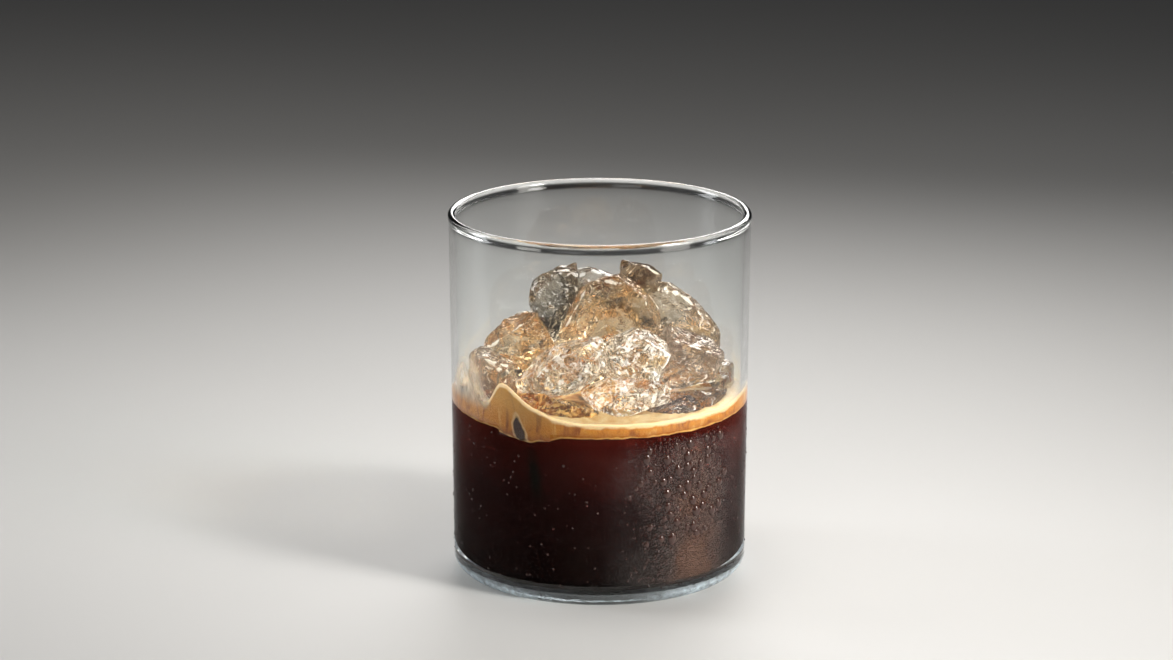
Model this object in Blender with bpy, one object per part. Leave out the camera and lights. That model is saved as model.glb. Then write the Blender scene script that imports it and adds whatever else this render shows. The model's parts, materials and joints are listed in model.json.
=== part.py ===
# A straight-sided glass of iced espresso, standing on its flat foot.
# The origin is the middle of the foot, +Z is up and -Y is the front.

import math
import random

import bmesh
import bpy
import numpy as np
from mathutils import Euler, Vector, noise

MM = 0.001

# Glass
GLASS_HEIGHT = 100 * MM
WALL_RADIUS = 41 * MM  # outside, just under the rim
WALL_TAPER = 0.8 * MM  # how much narrower the wall is at the heel
WALL = 1.9 * MM
RIM_THICKNESS = 2.3 * MM
FLOOR_THICKNESS = 5.4 * MM
HEEL_RADIUS = 4 * MM
INNER_CORNER_RADIUS = 4.5 * MM
FOOT_INNER_RADIUS = 29 * MM
PUNT_RISE = 1 * MM  # the underside is a little hollow inside the foot
GLASS_SIDES = 64

# Drink
GAP = 0.3 * MM  # left between neighbours
DRINK_LEVEL = 47 * MM  # where the espresso meets the foam at the wall
CREMA_THICKNESS = 3.2 * MM
DRINK_SIDES = 54
SURFACE_RINGS = (0.35, 0.64, 0.82, 0.93)  # shares of the drink's radius

# The foam line sags here, beside the ice at the left of the front
SAG_ANGLE = math.radians(-30)
SAG_WIDTH = math.radians(11)
SAG_DEPTH = 2.3 * MM

# Foam that clings to the wall: angle and width in degrees, height
FOAM_CRESTS = (
    (-45, 12, 10 * MM),
    (-27, 11, 2.4 * MM),
    (82, 14, 2 * MM),
)
CREST_SPREAD = 4.5 * MM  # how far a crest reaches in from the wall

# Foam heaped against the ice: place across, place along, height, spread
FOAM_HEAPS = (
    (30 * MM, -10 * MM, 1.6 * MM, 5 * MM),
    (-14 * MM, 27 * MM, 1.6 * MM, 8 * MM),
)

# Ice
ICE_ROOM = 36.6 * MM  # the radius that every lump keeps within
ICE_GROWTH = 0.45 * MM  # how much wider than the ice its pocket in the drink is
DIRECTIONS_TRIED = 600

# Each lump: name, middle (mm), half sizes (mm), turn (degrees), squareness, facets, fineness
ICE_LUMPS = (
    ("ice_wedge", (2.5, -8, 71.5), (15, 9, 12.5), (12, -18, 8), 0.85, 6, 3),
    ("ice_front_left", (-9.5, -19.5, 61), (13.5, 7, 7), (5, -32, -14), 0.75, 5, 3),
    ("ice_front_right", (9.5, -19, 63), (10, 7, 9), (0, 20, 12), 0.75, 6, 3),
    ("ice_front_low", (6.5, -25, 54.5), (12.5, 6.5, 6), (8, -12, 8), 0.75, 5, 3),
    ("ice_slab_right", (23.5, -11, 60), (11, 9.5, 9), (10, 24, 20), 0.7, 6, 3),
    ("ice_crown_right", (20, 2, 68.5), (15.5, 8, 9), (0, 38, 0), 0.85, 4, 3),
    ("ice_crown_left", (-12, -2, 74.5), (7.5, 8, 11), (0, 24, 10), 1.0, 2, 3),
    ("ice_peak_right", (11, 6, 79.5), (6.5, 6, 5.5), (0, 10, 30), 0.9, 4, 2),
    ("ice_peak_back", (-2, 9, 75.5), (10, 8, 7), (0, -6, 0), 0.8, 5, 2),
    ("ice_left", (-21.5, -5, 63), (10, 9, 8.5), (0, -30, 12), 0.75, 5, 3),
    ("ice_wall_left", (-30, -15, 55.5), (7, 8, 9.5), (0, 8, 24), 0.75, 4, 3),
    ("ice_right_low", (22, -19, 51), (14, 9, 6), (0, -6, 34), 0.7, 5, 3),
    ("ice_wall_right", (33, -3, 52), (5.5, 8, 8), (0, 6, -6), 0.8, 4, 2),
    ("ice_sunk_front", (-11.5, -24, 50), (12.5, 8, 7), (0, 6, -20), 0.75, 6, 3),
    ("ice_core", (4, 2, 55), (14, 12, 11), (0, 0, 20), 0.75, 5, 2),
    ("ice_back_left", (-16, 15, 57), (12, 10, 10), (0, 18, -30), 0.75, 5, 2),
    ("ice_back", (3, 23, 57), (12, 9, 11), (0, -10, 8), 0.75, 5, 2),
    ("ice_back_right", (22, 15, 55.5), (10, 10, 10), (0, 14, 34), 0.75, 5, 2),
)
LUMP_WAVES = 0.07  # depth of the dents in a lump, as a share of its size
WAVES_ACROSS = 1.9
FACET_DEPTH = (0.68, 0.9)  # where a facet cuts, as a share of the way out

COLOURS = {
    "glass": ((0.90, 0.95, 0.94, 0.35), 0.03),
    "espresso": ((0.055, 0.014, 0.008, 1.0), 0.08),
    "crema": ((0.74, 0.44, 0.17, 1.0), 0.55),
    "ice": ((0.88, 0.92, 0.93, 0.45), 0.06),
}


def clear_scene():
    for obj in list(bpy.data.objects):
        bpy.data.objects.remove(obj)


def material_named(name):
    """The material of one finish, made on first use."""
    found = bpy.data.materials.get(name)
    if found:
        return found
    colour, roughness = COLOURS[name]
    made = bpy.data.materials.new(name)
    made.use_nodes = True
    made.diffuse_color = colour
    shader = made.node_tree.nodes["Principled BSDF"]
    shader.inputs["Base Color"].default_value = (*colour[:3], 1)
    shader.inputs["Roughness"].default_value = roughness
    shader.inputs["Metallic"].default_value = 0
    shader.inputs["Transmission Weight"].default_value = 1 if colour[3] < 1 else 0
    return made


def object_from(shape, name, finish):
    """An object in the scene that takes over the bmesh."""
    mesh = bpy.data.meshes.new(name)
    shape.to_mesh(mesh)
    shape.free()
    made = bpy.data.objects.new(name, mesh)
    bpy.context.scene.collection.objects.link(made)
    mesh.materials.append(material_named(finish))
    return made


def arc(middle_r, middle_z, radius, start, end, steps):
    """Points of a section's rounding, from start to end in degrees."""
    turns = [math.radians(start + (end - start) * i / steps) for i in range(steps + 1)]
    return [
        (middle_r + radius * math.cos(turn), middle_z + radius * math.sin(turn))
        for turn in turns
    ]


def turned(profile, sides):
    """A closed body of revolution from (radius, height) points that start and end on the axis."""
    shape = bmesh.new()
    points = [shape.verts.new((r, 0, z)) for r, z in profile]
    lines = [shape.edges.new(pair) for pair in zip(points, points[1:])]
    bmesh.ops.spin(
        shape,
        geom=points + lines,
        cent=(0, 0, 0),
        axis=(0, 0, 1),
        angle=math.tau,
        steps=sides,
        use_merge=True,
    )
    bmesh.ops.remove_doubles(shape, verts=shape.verts, dist=1e-6)
    bmesh.ops.recalc_face_normals(shape, faces=shape.faces)
    return shape


def outer_radius(height):
    """The straight outer wall, a little narrower towards the heel."""
    return WALL_RADIUS - WALL_TAPER * (1 - height / GLASS_HEIGHT)


def inner_radius(height):
    return outer_radius(height) - WALL


def glass_profile():
    bead = RIM_THICKNESS / 2
    rim_z = GLASS_HEIGHT - bead
    rim_r = WALL_RADIUS - WALL / 2
    heel_r = outer_radius(HEEL_RADIUS) - HEEL_RADIUS
    corner_z = FLOOR_THICKNESS + INNER_CORNER_RADIUS
    corner_r = inner_radius(corner_z) - INNER_CORNER_RADIUS
    underside = [(0, PUNT_RISE), (FOOT_INNER_RADIUS * 0.7, PUNT_RISE * 0.6)]
    heel = arc(heel_r, HEEL_RADIUS, HEEL_RADIUS, -90, 0, 4)
    rim = arc(rim_r, rim_z, bead, -50, 230, 8)
    corner = arc(corner_r, corner_z, INNER_CORNER_RADIUS, 0, -90, 4)
    return (
        underside
        + [(FOOT_INNER_RADIUS, 0)]
        + heel
        + [(outer_radius(rim_z - 2 * bead), rim_z - 2 * bead)]
        + rim
        + [(inner_radius(rim_z - 2 * bead), rim_z - 2 * bead)]
        + corner
        + [(0, FLOOR_THICKNESS)]
    )


def sag(x, y):
    """How far the foam line drops here, near the wall alone."""
    angle = math.atan2(x, -y)
    near_wall = min(1, math.hypot(x, y) / inner_radius(DRINK_LEVEL)) ** 6
    return SAG_DEPTH * math.exp(-(((angle - SAG_ANGLE) / SAG_WIDTH) ** 2)) * near_wall


def foam_height(x, y):
    """How much thicker the foam is here than its usual thickness."""
    angle = math.degrees(math.atan2(x, -y))
    inwards = max(0, inner_radius(DRINK_LEVEL) - math.hypot(x, y))
    clinging = sum(
        height * math.exp(-(((angle - middle) / width) ** 2))
        for middle, width, height in FOAM_CRESTS
    ) * math.exp(-((inwards / CREST_SPREAD) ** 2))
    heaped = clinging + sum(
        height * math.exp(-((x - across) ** 2 + (y - along) ** 2) / spread**2)
        for across, along, height, spread in FOAM_HEAPS
    )
    unevenness = noise.noise(Vector((x, y, 0)) / (9 * MM)) * 0.5 * MM
    return heaped + unevenness


def make_glass():
    return object_from(turned(glass_profile(), GLASS_SIDES), "glass", "glass")


def make_espresso():
    """The dark drink, from the glass's floor up to the foam."""
    corner_r = INNER_CORNER_RADIUS - GAP
    corner_z = FLOOR_THICKNESS + GAP + corner_r
    wall_r = inner_radius(DRINK_LEVEL) - GAP
    low_r = inner_radius(corner_z) - GAP
    profile = (
        [(0, FLOOR_THICKNESS + GAP)]
        + arc(low_r - corner_r, corner_z, corner_r, -90, 0, 4)
        + [(wall_r, DRINK_LEVEL)]
        + [(wall_r * share, DRINK_LEVEL) for share in reversed(SURFACE_RINGS)]
        + [(0, DRINK_LEVEL)]
    )
    shape = turned(profile, DRINK_SIDES)
    for vertex in shape.verts:
        if vertex.co.z > DRINK_LEVEL - GAP:
            vertex.co.z -= sag(vertex.co.x, vertex.co.y)
    return object_from(shape, "espresso", "espresso")


def make_crema():
    """The foam, which lies on the drink and rises against the ice."""
    under = DRINK_LEVEL + GAP
    over = under + CREMA_THICKNESS
    wall_r = inner_radius(DRINK_LEVEL) - GAP
    rings = [wall_r * share for share in SURFACE_RINGS]
    profile = (
        [(0, under)]
        + [(r, under) for r in rings]
        + [(wall_r, under), (wall_r, over)]
        + [(r, over) for r in reversed(rings)]
        + [(0, over)]
    )
    shape = turned(profile, DRINK_SIDES)
    middle = (under + over) / 2
    for vertex in shape.verts:
        x, y, z = vertex.co
        vertex.co.z += foam_height(x, y) if z > middle else -sag(x, y)
    return object_from(shape, "crema", "crema")


def squared(point, power):
    """A point of the unit ball's surface moved to a rounder or squarer body."""
    return Vector([math.copysign(abs(axis) ** power, axis) for axis in point])


def cut_away(shape, point, normal):
    """Cuts off what lies beyond the plane and closes the flat face that is left."""
    bmesh.ops.bisect_plane(
        shape,
        geom=shape.verts[:] + shape.edges[:] + shape.faces[:],
        plane_co=point,
        plane_no=normal,
        clear_outer=True,
        dist=1e-7,
    )
    rim = [edge for edge in shape.edges if edge.is_boundary]
    if rim:
        bmesh.ops.holes_fill(shape, edges=rim)


def any_direction(draw):
    """An even random direction."""
    z = draw.uniform(-1, 1)
    turn = draw.uniform(0, math.tau)
    flat = math.sqrt(1 - z * z)
    return Vector((flat * math.cos(turn), flat * math.sin(turn), z))


def ice_lump(spec, seed):
    """One broken piece of ice: a squarish ball with flat facets and shallow dents."""
    name, middle, halves, turn, squareness, facets, fineness = spec
    draw = random.Random(seed)
    shape = bmesh.new()
    bmesh.ops.create_icosphere(shape, subdivisions=fineness, radius=1)
    shift = Vector((seed * 7.3, seed * 3.1, seed * 1.7))
    for vertex in shape.verts:
        dent = noise.noise(vertex.co * WAVES_ACROSS + shift) * LUMP_WAVES
        vertex.co = squared(vertex.co, squareness) * (1 + 2 * dent)
    for _ in range(facets):
        direction = any_direction(draw)
        reach = max(vertex.co.dot(direction) for vertex in shape.verts)
        cut_away(shape, direction * reach * draw.uniform(*FACET_DEPTH), direction)
    size = Vector(halves) * MM
    rotation = Euler([math.radians(angle) for angle in turn]).to_matrix()
    for vertex in shape.verts:
        scaled = Vector([a * b for a, b in zip(vertex.co, size)])
        vertex.co = rotation @ scaled + Vector(middle) * MM
    return shape


def keep_in_glass(shape):
    """Presses a lump's outermost points back to the room inside the glass."""
    for vertex in shape.verts:
        reach = math.hypot(vertex.co.x, vertex.co.y)
        if reach > ICE_ROOM:
            vertex.co.x *= ICE_ROOM / reach
            vertex.co.y *= ICE_ROOM / reach


def reaches(shape, directions):
    """How far the body reaches along each direction."""
    points = np.array([vertex.co for vertex in shape.verts])
    return (points @ directions.T).max(axis=0)


def part_lumps(first, second, directions):
    """Cuts two lumps that meet along the plane that takes the least off them."""
    high = reaches(first, directions)
    low = -reaches(second, -directions)
    overlap = high - low
    best = int(overlap.argmin())
    if overlap[best] < -GAP:
        return
    direction = Vector(directions[best])
    middle = float(high[best] + low[best]) / 2
    cut_away(first, direction * (middle - GAP / 2), direction)
    cut_away(second, direction * (middle + GAP / 2), -direction)


def make_ice():
    """All the lumps, parted from each other, as objects."""
    shapes = [ice_lump(spec, seed) for seed, spec in enumerate(ICE_LUMPS, 1)]
    draw = random.Random(5)
    directions = np.array([any_direction(draw) for _ in range(DIRECTIONS_TRIED)])
    for shape in shapes:
        keep_in_glass(shape)
    for i, first in enumerate(shapes):
        for second in shapes[i + 1 :]:
            part_lumps(first, second, directions)
    made = []
    for spec, shape in zip(ICE_LUMPS, shapes):
        bmesh.ops.dissolve_limit(
            shape, angle_limit=math.radians(1), verts=shape.verts, edges=shape.edges
        )
        bmesh.ops.triangulate(shape, faces=shape.faces)
        made.append(object_from(shape, spec[0], "ice"))
    return made


def grown_copies(lumps):
    """A hidden collection of slightly larger lumps, which cut the drink."""
    cutters = bpy.data.collections.new("ice_pockets")
    cutters.hide_render = True
    bpy.context.scene.collection.children.link(cutters)
    for lump in lumps:
        shape = bmesh.new()
        shape.from_mesh(lump.data)
        shape.normal_update()
        moves = [(vertex, vertex.normal * ICE_GROWTH) for vertex in shape.verts]
        for vertex, move in moves:
            vertex.co += move
        mesh = bpy.data.meshes.new("pocket_" + lump.name)
        shape.to_mesh(mesh)
        shape.free()
        pocket = bpy.data.objects.new(mesh.name, mesh)
        pocket.hide_render = True
        pocket.display_type = "WIRE"
        cutters.objects.link(pocket)
    return cutters


def connected_parts(shape):
    """The faces of each separate body in the bmesh."""
    left = set(shape.faces)
    parts = []
    while left:
        part = set()
        waiting = [left.pop()]
        while waiting:
            face = waiting.pop()
            part.add(face)
            for edge in face.edges:
                near = [f for f in edge.link_faces if f in left]
                left.difference_update(near)
                waiting.extend(near)
        parts.append(part)
    return parts


def cut_pockets(obj, cutters):
    """Cuts room for the ice and drops what that leaves loose."""
    boolean = obj.modifiers.new("ice", "BOOLEAN")
    boolean.operation = "DIFFERENCE"
    boolean.operand_type = "COLLECTION"
    boolean.collection = cutters
    boolean.solver = "EXACT"
    bpy.context.view_layer.update()
    evaluated = obj.evaluated_get(bpy.context.evaluated_depsgraph_get())
    shape = bmesh.new()
    shape.from_mesh(evaluated.to_mesh())
    evaluated.to_mesh_clear()
    obj.modifiers.clear()
    parts = sorted(connected_parts(shape), key=len)
    scraps = [face for part in parts[:-1] for face in part]
    bmesh.ops.delete(shape, geom=scraps, context="FACES")
    bmesh.ops.triangulate(shape, faces=shape.faces)
    shape.to_mesh(obj.data)
    shape.free()


def remove_cutters(cutters):
    for obj in list(cutters.objects):
        bpy.data.objects.remove(obj)
    bpy.data.collections.remove(cutters)


def shade_round(obj, edge_degrees):
    obj.data.shade_smooth()
    obj.data.set_sharp_from_angle(angle=math.radians(edge_degrees))


def main():
    clear_scene()
    glass = make_glass()
    lumps = make_ice()
    espresso = make_espresso()
    crema = make_crema()
    cutters = grown_copies(lumps)
    cut_pockets(espresso, cutters)
    cut_pockets(crema, cutters)
    remove_cutters(cutters)
    for obj in [glass, espresso, crema, *lumps]:
        shade_round(obj, 35)


main()
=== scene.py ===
import json
import math
import random

import bpy
import numpy as np
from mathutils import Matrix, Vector, noise
from mathutils.bvhtree import BVHTree

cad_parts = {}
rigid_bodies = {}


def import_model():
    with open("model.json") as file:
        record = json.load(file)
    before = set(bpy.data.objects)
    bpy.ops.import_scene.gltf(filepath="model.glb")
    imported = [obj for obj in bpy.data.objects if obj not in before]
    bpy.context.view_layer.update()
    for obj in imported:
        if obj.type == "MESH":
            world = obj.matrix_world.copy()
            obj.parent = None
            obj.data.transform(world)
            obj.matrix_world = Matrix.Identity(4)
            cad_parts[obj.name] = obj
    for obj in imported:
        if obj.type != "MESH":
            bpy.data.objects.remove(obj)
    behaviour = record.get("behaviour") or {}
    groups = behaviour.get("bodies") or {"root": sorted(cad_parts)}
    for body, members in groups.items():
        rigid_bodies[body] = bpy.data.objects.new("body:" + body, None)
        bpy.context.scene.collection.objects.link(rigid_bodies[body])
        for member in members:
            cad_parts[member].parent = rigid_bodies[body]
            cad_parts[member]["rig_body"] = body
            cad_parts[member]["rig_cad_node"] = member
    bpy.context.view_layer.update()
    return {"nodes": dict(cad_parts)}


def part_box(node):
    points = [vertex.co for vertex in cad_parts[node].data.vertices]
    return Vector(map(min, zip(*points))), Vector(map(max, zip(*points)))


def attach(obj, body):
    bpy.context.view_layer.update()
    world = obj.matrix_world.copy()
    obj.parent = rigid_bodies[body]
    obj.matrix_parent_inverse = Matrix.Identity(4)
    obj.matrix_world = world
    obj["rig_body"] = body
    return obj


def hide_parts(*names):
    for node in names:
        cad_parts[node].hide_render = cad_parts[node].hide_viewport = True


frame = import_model()
mm = 0.001


# helpers for modelling

def deselectAll():
    if bpy.context.object and bpy.context.object.mode != "OBJECT":
        bpy.ops.object.mode_set(mode="OBJECT")
    bpy.ops.object.select_all(action="DESELECT")


def onlySelect(piece):
    deselectAll()
    piece.select_set(True)
    bpy.context.view_layer.objects.active = piece


def nameIt(piece, name):
    piece.name = name
    piece.data.name = name


def arcPoints(middleRadius, middleHeight, size, start, end, steps):
    # points of a rounding in a turned outline, from start to end in degrees
    turns = [math.radians(start + (end - start) * i / steps) for i in range(steps + 1)]
    return [(middleRadius + size * math.cos(t), middleHeight + size * math.sin(t)) for t in turns]


def spacedPoints(first, last, steps):
    # evenly spaced points between two points of an outline, without the first
    return [
        tuple(a + (b - a) * i / steps for a, b in zip(first, last))
        for i in range(1, steps + 1)
    ]


def turnedPiece(name, outline, sides):
    # outline holds (radius, height) in mm, from the axis below round to the axis above
    deselectAll()
    radius, height = outline[1]
    bpy.ops.mesh.primitive_circle_add(
        vertices=sides, radius=radius * mm, fill_type="TRIFAN", location=(0, 0, height * mm)
    )
    piece = bpy.context.object
    bpy.ops.object.transform_apply(location=True, rotation=False, scale=False)
    bpy.ops.object.mode_set(mode="EDIT")
    bpy.ops.mesh.select_mode(type="VERT")
    bpy.ops.mesh.select_all(action="DESELECT")
    bpy.ops.mesh.select_non_manifold()
    for nextRadius, nextHeight in outline[2:-1]:
        bpy.ops.mesh.extrude_region_move(
            TRANSFORM_OT_translate={"value": (0, 0, (nextHeight - height) * mm)}
        )
        share = nextRadius / radius
        bpy.ops.transform.resize(
            value=(share, share, 1), center_override=(0, 0, nextHeight * mm)
        )
        radius, height = nextRadius, nextHeight
    bpy.ops.mesh.extrude_region_move(
        TRANSFORM_OT_translate={"value": (0, 0, (outline[-1][1] - height) * mm)}
    )
    bpy.ops.mesh.merge(type="CENTER")
    bpy.ops.mesh.select_all(action="SELECT")
    bpy.ops.mesh.normals_make_consistent(inside=False)
    bpy.ops.object.mode_set(mode="OBJECT")
    bpy.ops.object.shade_smooth()
    nameIt(piece, name)
    return piece


def applyModifier(piece, kind, **settings):
    onlySelect(piece)
    modifier = piece.modifiers.new(kind.lower(), kind)
    for setting, value in settings.items():
        setattr(modifier, setting, value)
    bpy.ops.object.modifier_apply(modifier=modifier.name)


def readPoints(piece):
    flat = np.empty(len(piece.data.vertices) * 3)
    piece.data.vertices.foreach_get("co", flat)
    return flat.reshape(-1, 3)


def writePoints(piece, points):
    piece.data.vertices.foreach_set("co", points.ravel())
    piece.data.update()


def pieceFromFaces(name, points, faces):
    # points are in mm; both are lists of arrays
    mesh = bpy.data.meshes.new(name)
    mesh.from_pydata((np.concatenate(points) * mm).tolist(), [], np.concatenate(faces).tolist())
    piece = bpy.data.objects.new(name, mesh)
    bpy.context.scene.collection.objects.link(piece)
    return piece


# helpers for materials

def newMaterial(name):
    made = bpy.data.materials.new(name)
    made.use_nodes = True
    return made, made.node_tree, made.node_tree.nodes["Principled BSDF"]


def addNode(tree, kind, inputs=(), **settings):
    node = tree.nodes.new(kind)
    for setting, value in settings.items():
        setattr(node, setting, value)
    for socket, value in dict(inputs).items():
        if isinstance(value, bpy.types.NodeSocket):
            tree.links.new(value, node.inputs[socket])
        else:
            node.inputs[socket].default_value = value
    return node


def objectCoordinates(tree):
    return addNode(tree, "ShaderNodeTexCoord").outputs["Object"]


def heightValue(tree):
    return addNode(tree, "ShaderNodeSeparateXYZ", {"Vector": objectCoordinates(tree)}).outputs["Z"]


def cellValue(tree, vector, scale):
    # 0 in the middle of each small cell
    return addNode(tree, "ShaderNodeTexVoronoi", {"Vector": vector, "Scale": scale}).outputs["Distance"]


def noiseValue(tree, scale, detail=3.0, roughness=0.5, distortion=0.0):
    node = addNode(
        tree,
        "ShaderNodeTexNoise",
        {
            "Vector": objectCoordinates(tree),
            "Scale": scale,
            "Detail": detail,
            "Roughness": roughness,
            "Distortion": distortion,
        },
    )
    return node.outputs["Fac"]


def ramp(tree, value, stops):
    # stops are (place, colour) pairs
    node = addNode(tree, "ShaderNodeValToRGB", {"Fac": value})
    elements = node.color_ramp.elements
    while len(elements) < len(stops):
        elements.new(0.5)
    for element, (place, colour) in zip(elements, stops):
        element.position = place
        element.color = (*colour, 1)
    return node.outputs["Color"]


def rangeValue(tree, value, fromLow, fromHigh, toLow, toHigh):
    node = addNode(
        tree,
        "ShaderNodeMapRange",
        {"Value": value, "From Min": fromLow, "From Max": fromHigh, "To Min": toLow, "To Max": toHigh},
    )
    return node.outputs["Result"]


def calculate(tree, operation, first, second=0.0):
    node = addNode(tree, "ShaderNodeMath", operation=operation)
    for socket, value in zip(node.inputs, (first, second)):
        if isinstance(value, bpy.types.NodeSocket):
            tree.links.new(value, socket)
        else:
            socket.default_value = value
    return node.outputs["Value"]


def mixColours(tree, factor, first, second):
    node = addNode(tree, "ShaderNodeMix", data_type="RGBA")
    for socket, value in zip((node.inputs[0], node.inputs[6], node.inputs[7]), (factor, first, second)):
        if isinstance(value, bpy.types.NodeSocket):
            tree.links.new(value, socket)
        else:
            socket.default_value = (*value, 1) if isinstance(value, tuple) else value
    return node.outputs[2]


def addBump(tree, shader, height, strength, distance):
    bump = addNode(
        tree, "ShaderNodeBump", {"Height": height, "Strength": strength, "Distance": distance}
    )
    tree.links.new(bump.outputs["Normal"], shader.inputs["Normal"])


def addDepthColour(tree, colour, density):
    inside = addNode(tree, "ShaderNodeVolumeAbsorption", {"Color": (*colour, 1), "Density": density})
    tree.links.new(inside.outputs["Volume"], tree.nodes["Material Output"].inputs["Volume"])


def letLampsThrough(tree, shader, tint):
    # lamplight passes a clear piece without being bent, which keeps what is behind it lit
    output = tree.nodes["Material Output"]
    lightPath = addNode(tree, "ShaderNodeLightPath")
    clear = addNode(tree, "ShaderNodeBsdfTransparent", {"Color": (*tint, 1)})
    mixed = addNode(tree, "ShaderNodeMixShader", {"Fac": lightPath.outputs["Is Shadow Ray"]})
    tree.links.new(shader.outputs["BSDF"], mixed.inputs[1])
    tree.links.new(clear.outputs["BSDF"], mixed.inputs[2])
    tree.links.new(mixed.outputs["Shader"], output.inputs["Surface"])


# the glass

glassShape = {
    "height": 100,
    "radius": 41,  # outside, just under the rim
    "taper": 0.8,  # narrower at the heel by this
    "wall": 1.9,
    "rimThickness": 2.3,
    "rimBlend": 1.7,  # height over which the wall thickens into the rim
    "floor": 4.2,
    "heel": 4,
    "innerCorner": 3.4,
    "footInner": 29,
    "punt": 1,
    "sides": 192,
}


def outerRadius(height):
    return glassShape["radius"] - glassShape["taper"] * (1 - height / glassShape["height"])


def innerRadius(height):
    return outerRadius(height) - glassShape["wall"]


def makeGlass():
    g = glassShape
    bead = g["rimThickness"] / 2
    rimHeight = g["height"] - bead
    rimRadius = g["radius"] - g["wall"] / 2
    heelRadius = outerRadius(g["heel"]) - g["heel"]
    cornerHeight = g["floor"] + g["innerCorner"]
    cornerRadius = innerRadius(cornerHeight) - g["innerCorner"]
    neck = rimHeight - g["rimBlend"]
    outerTop = (outerRadius(neck), neck)
    innerTop = (innerRadius(neck), neck)
    swell = []  # the wall thickens smoothly into the rim
    for i in range(1, 12):
        share = i / 12
        smooth = share * share * (3 - 2 * share)
        swell.append((smooth, neck + g["rimBlend"] * share))
    outerSwell = [(outerTop[0] + s * (rimRadius + bead - outerTop[0]), z) for s, z in swell]
    innerSwell = [(innerTop[0] + s * (rimRadius - bead - innerTop[0]), z) for s, z in swell]
    heel = arcPoints(heelRadius, g["heel"], g["heel"], -90, 0, 14)
    rim = outerSwell + arcPoints(rimRadius, rimHeight, bead, 0, 180, 20) + innerSwell[::-1]
    corner = arcPoints(cornerRadius, cornerHeight, g["innerCorner"], 0, -90, 14)
    outline = (
        [(0, g["punt"]), (5, g["punt"]), (12, g["punt"] * 0.88), (20, g["punt"] * 0.6)]
        + [(26, g["punt"] * 0.28), (g["footInner"], 0.04), (g["footInner"] + 0.6, 0)]
        + heel
        + spacedPoints(heel[-1], outerTop, 40)
        + rim
        + [innerTop]
        + spacedPoints(innerTop, corner[0], 40)
        + corner[1:]
        + spacedPoints(corner[-1], (6, g["floor"]), 5)
        + [(0, g["floor"])]
    )
    glass = turnedPiece("tumbler", outline, g["sides"])
    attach(glass, "root")
    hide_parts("glass")
    print("glass made")
    return glass


glassFinish = {
    "tint": (0.97, 0.985, 0.98),
    "lampTint": (0.96, 0.975, 0.97),
    "ior": 1.5,
    "mistTop": 0.046,  # the cold part of the wall is misted up to here
    "mistMiddle": 38,  # and most at this angle, in degrees from the front
    "mistedIor": 1.06,  # mist takes away most of the wall's mirror image
    "mistColour": (0.8, 0.5, 0.38),
    "mistShare": 0.27,
    "sheen": (25, -31, 11),  # low on the right a patch of thicker mist, partly a painted sheen
    "sheenSize": (9, 12, 11),
    "sheenShare": 0.55,
    # the foot is painted pale blue and partly opaque at the sides, a painted glow, and painted dark and left
    # clear at the front, a painted shade
    "footPaintedGlow": (0.75, 0.9, 1),
    "footPaintedShade": (0.5, 0.55, 0.57),
    "footAngles": (12, 36),
    "footTop": 4.4,
    "footClearness": (0.8, 0.3),
}


def clearGlassMaterial(name, ior):
    material, tree, shader = newMaterial(name)
    shader.inputs["Base Color"].default_value = (*glassFinish["tint"], 1)
    shader.inputs["Transmission Weight"].default_value = 1
    shader.inputs["Roughness"].default_value = 0
    shader.inputs["IOR"].default_value = ior
    letLampsThrough(tree, shader, glassFinish["lampTint"])
    return material


def turnAngle(tree):
    # how far round the glass from its front, in radians
    parts = addNode(tree, "ShaderNodeSeparateXYZ", {"Vector": objectCoordinates(tree)}).outputs
    return calculate(tree, "ARCTAN2", parts["X"], calculate(tree, "MULTIPLY", parts["Y"], -1.0))


def footGlassMaterial():
    # the thick foot has a rough underside; pale blue at its sides is a painted glow, dark at its front a
    # painted shade
    material, tree, shader = newMaterial("footGlass")
    turn = calculate(tree, "ABSOLUTE", turnAngle(tree))
    paintedShadeTo, paintedGlowFrom = (math.radians(angle) for angle in glassFinish["footAngles"])
    frostAndPaintedGlow = rangeValue(tree, turn, paintedShadeTo, paintedGlowFrom, 0, 1)
    grain = rangeValue(tree, noiseValue(tree, 420, 5, 0.7), 0.38, 0.6, 0.35, 1)
    frostAndPaintedGlow = calculate(tree, "MULTIPLY", frostAndPaintedGlow, grain)
    top = glassFinish["footTop"] * mm
    low = rangeValue(tree, heightValue(tree), top - 1.6 * mm, top, 1, 0)
    frostAndPaintedGlow = calculate(tree, "MULTIPLY", frostAndPaintedGlow, low)
    # painted glow at the sides, painted shade at the front
    colour = mixColours(tree, frostAndPaintedGlow, glassFinish["footPaintedShade"], glassFinish["footPaintedGlow"])
    tree.links.new(colour, shader.inputs["Base Color"])
    clearness = rangeValue(tree, frostAndPaintedGlow, 0, 1, *glassFinish["footClearness"])
    tree.links.new(clearness, shader.inputs["Transmission Weight"])
    shader.inputs["Roughness"].default_value = 0.1
    shader.inputs["IOR"].default_value = glassFinish["ior"]
    streaks = addNode(
        tree, "ShaderNodeMapping", {"Vector": objectCoordinates(tree), "Scale": (1, 1, 4)}
    ).outputs["Vector"]
    waves = addNode(tree, "ShaderNodeTexNoise", {"Vector": streaks, "Scale": 220, "Detail": 3}).outputs["Fac"]
    addBump(tree, shader, waves, 0.4, 0.0004)
    letLampsThrough(tree, shader, glassFinish["lampTint"])
    return material


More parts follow.
